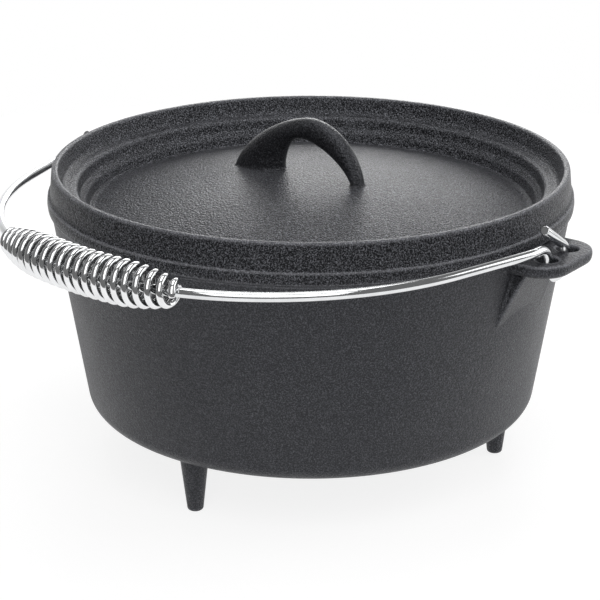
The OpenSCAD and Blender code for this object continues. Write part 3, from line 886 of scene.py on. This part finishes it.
class OvenGripCoil(bpy.types.Operator):
    """Wind the coil grip around the bail's bow"""

    bl_idname = "oven.grip_coil"
    bl_label = "Grip coil"

    def execute(self, context):
        bail, grip = settings().bail, settings().grip
        bow_r, bow_y, _ = bow_frame()
        wire_r, half = grip.wire_d / 2, grip.span / 2
        end_r = bail.wire_d / 2 + grip.end_play + wire_r
        swell = grip.outer_d / 2 - wire_r - end_r
        end_y = sqrt(bow_r ** 2 - half ** 2)
        slack = grip.outer_d / 2 - grip.wire_d - bail.wire_d / 2 - grip.middle_gap
        # The coil's axis is an arc that always sags a little, so that it has a radius.
        least_sag = 0.001
        sag = max(least_sag, bow_r - end_y - slack)
        axis_r = (half ** 2 + sag ** 2) / (2 * sag)
        sides, steps_per_turn = 16, 36
        steps = round(grip.turns * steps_per_turn)
        bm = bmesh.new()
        bmesh.ops.create_circle(bm, cap_ends=False, radius=wire_r, segments=sides)
        bmesh.ops.transform(bm, matrix=Matrix.Translation((0, end_r, 0)), verts=bm.verts)
        bmesh.ops.spin(
            bm, geom=bm.verts[:] + bm.edges[:], cent=(0, 0, 0), axis=(1, 0, 0),
            dvec=(grip.span / steps, 0, 0), angle=tau * grip.turns, steps=steps, use_merge=False)
        bm.verts.ensure_lookup_table()
        for step in range(steps + 1):
            turns = grip.turns * step / steps
            from_end = min(turns, grip.turns - turns)
            grow = swell * sin(pi / 2 * min(1, from_end / grip.taper_turns))
            outward = Vector((0, cos(tau * turns), sin(tau * turns)))
            ring = bm.verts[step * sides:(step + 1) * sides]
            bmesh.ops.translate(bm, vec=grow * outward - Vector((half, 0, 0)), verts=ring)
            from_middle = 2 * turns / grip.turns - 1
            along = asin(half / axis_r) * from_middle
            straight = Vector((half * from_middle, 0, 0))
            bowed = Vector((axis_r * sin(along), end_y + sag - axis_r + axis_r * cos(along), 0))
            lean = Matrix.Rotation(-along, 4, 'Z')
            place = Matrix.Translation(bowed) @ lean @ Matrix.Translation(-straight)
            bmesh.ops.transform(bm, matrix=place, verts=ring)
        bmesh.ops.holes_fill(bm, edges=[edge for edge in bm.edges if edge.is_boundary], sides=0)
        bmesh.ops.recalc_face_normals(bm, faces=bm.faces)
        caps = [face for face in bm.faces if len(face.verts) == sides]
        bevel(bm, [edge for face in caps for edge in face.edges], grip.end_round, segments=3)
        level = bail.hinge_z + bail.shoulder_r - grip.hang
        place = Matrix.Translation((0, bow_y, level)) @ Matrix.Rotation(pi - grip.slid, 4, 'Z')
        bmesh.ops.transform(bm, matrix=place, verts=bm.verts)
        add_piece("grip_coil", bm, wire_finish("coil"), "grip", ["grip"])
        return {'FINISHED'}


class OvenStudio(bpy.types.Operator):
    """Set up the pale floor, the soft light and the camera"""

    bl_idname = "oven.studio"
    bl_label = "Studio"

    def floor(self):
        """Pale floor that looks white and keeps the object's shadow."""
        bm = bmesh.new()
        bmesh.ops.create_circle(bm, cap_ends=True, radius=0.85, segments=128)
        ground = add_object("studio_floor", bm)
        material, tree, matte = start_finish("pale floor")
        set_inputs(tree, matte, {
            "Base Color": (*settings().finish.floor_colour, 1),
            "Roughness": 0.9,
            "Specular IOR Level": 0.1,
        })
        glow = add_node(tree, "ShaderNodeEmission", {"Color": (*WHITE, 1), "Strength": 0.84})
        both = add_node(
            tree, "ShaderNodeAddShader", {0: matte.outputs["BSDF"], 1: glow.outputs["Emission"]})
        shown = add_node(tree, "ShaderNodeMixShader", {
            "Fac": self.seen(tree), 1: matte.outputs["BSDF"], 2: both.outputs["Shader"]})
        set_inputs(tree, tree.nodes["Material Output"], {"Surface": shown.outputs["Shader"]})
        ground.data.materials.append(material)

    def seen(self, tree):
        """1 for the rays that show the background: from the camera, in gloss and through glass."""
        ray = add_node(tree, "ShaderNodeLightPath").outputs
        straight = reckon(tree, 'MAXIMUM', ray["Is Camera Ray"], ray["Is Glossy Ray"])
        return reckon(tree, 'MAXIMUM', straight, ray["Is Transmission Ray"])

    def sky(self):
        """White to the camera and dim to matte faces; in gloss, a dark room with a bright far side."""
        world = bpy.data.worlds.new("studio")
        bpy.context.scene.world = world
        world.use_nodes = True
        tree = world.node_tree
        soft = tree.nodes["Background"]
        set_inputs(tree, soft, {"Color": (*WHITE, 1), "Strength": 0.13})
        direction = add_node(tree, "ShaderNodeTexCoord").outputs["Generated"]
        far_side = (-0.46, 0.84, -0.29)
        towards = add_node(
            tree, "ShaderNodeVectorMath", {0: direction, 1: far_side}, operation='DOT_PRODUCT')
        part_way = spread(tree, towards.outputs["Value"], 0, 1, start=-1, end=1)
        dark_room = (0.17, 0.17, 0.17)
        grade = ramp(tree, part_way, (0.65, dark_room), (0.93, WHITE), 'EASE')
        room = add_node(tree, "ShaderNodeBackground", {"Color": grade})
        white = add_node(tree, "ShaderNodeBackground", {"Color": (*WHITE, 1)})
        lighting = add_node(tree, "ShaderNodeMixShader", {
            "Fac": self.seen(tree), 1: soft.outputs["Background"], 2: room.outputs["Background"]})
        camera_ray = add_node(tree, "ShaderNodeLightPath").outputs["Is Camera Ray"]
        shown = add_node(tree, "ShaderNodeMixShader", {
            "Fac": camera_ray, 1: lighting.outputs["Shader"], 2: white.outputs["Background"]})
        set_inputs(tree, tree.nodes["World Output"], {"Surface": shown.outputs["Shader"]})

    def lamp(self, name, place, size, power):
        """Square soft box that points at the oven's middle."""
        data = bpy.data.lights.new(name, 'AREA')
        data.shape = 'SQUARE'
        data.size = size
        data.energy = power
        light = bpy.data.objects.new(name, data)
        bpy.context.scene.collection.objects.link(light)
        self.aim(light, place, target=(0, 0, 0.12))

    def aim(self, item, place, target):
        """Puts a lamp or the camera in its place and points it at a target."""
        item.location = place
        item.rotation_euler = (Vector(target) - item.location).to_track_quat('-Z', 'Y').to_euler()

    def camera(self):
        """Camera at the photograph's viewing angle."""
        data = bpy.data.cameras.new("camera")
        data.sensor_width = 36
        data.lens = 120
        data.shift_x = -0.0181
        data.shift_y = 0.1485
        eye = bpy.data.objects.new("camera", data)
        bpy.context.scene.collection.objects.link(eye)
        self.aim(eye, place=(0.6853, -0.9432, 0.5298), target=(0, 0, 0.0375))
        bpy.context.scene.camera = eye

    def execute(self, context):
        context.scene.view_settings.view_transform = 'Standard'
        self.floor()
        self.sky()
        self.lamp("top box", place=(-0.08, 0.12, 1.42), size=0.9, power=6)
        self.lamp("back box", place=(-0.75, 1.25, 0.6), size=0.8, power=5.5)
        self.lamp("right box", place=(1.0, 0.95, 0.6), size=1.1, power=6)
        self.lamp("front box", place=(0.8, -1.1, 1.35), size=1.6, power=14)
        self.camera()
        return {'FINISHED'}


class OvenPanel(bpy.types.Panel):
    """Sidebar list of the oven's pieces and sizes"""

    bl_idname = "OVEN_PT_pieces"
    bl_label = "Camp dutch oven"
    bl_space_type = 'VIEW_3D'
    bl_region_type = 'UI'
    bl_category = "Oven"

    def draw(self, context):
        for step in STEPS:
            self.layout.operator(step.bl_idname)
        for group in ("pot", "lid", "bail", "grip", "finish"):
            box = self.layout.box()
            box.label(text=group.capitalize())
            values = getattr(context.scene.oven, group)
            for name in values.__annotations__:
                box.prop(values, name)


STEPS = (
    OvenPotShell, OvenPotLegs, OvenPotEars, OvenLidPlate, OvenLidHandle, OvenBailWire, OvenGripCoil,
    OvenStudio)
GROUPS = (OvenPotSizes, OvenLidSizes, OvenBailSizes, OvenGripSizes, OvenFinishes, OvenSettings)
CLASSES = GROUPS + STEPS + (OvenPanel,)


def register():
    for item in CLASSES:
        bpy.utils.register_class(item)
    bpy.types.Scene.oven = bpy.props.PointerProperty(
        type=OvenSettings, name="Camp dutch oven", description="Sizes and finishes of the oven")


def unregister():
    del bpy.types.Scene.oven
    for item in reversed(CLASSES):
        bpy.utils.unregister_class(item)


def main():
    register()
    bpy.ops.oven.pot_shell()
    bpy.ops.oven.pot_legs()
    bpy.ops.oven.pot_ears()
    bpy.ops.oven.lid_plate()
    bpy.ops.oven.lid_handle()
    bpy.ops.oven.bail_wire()
    bpy.ops.oven.grip_coil()
    bpy.ops.oven.studio()


if __name__ == "__main__":
    main()
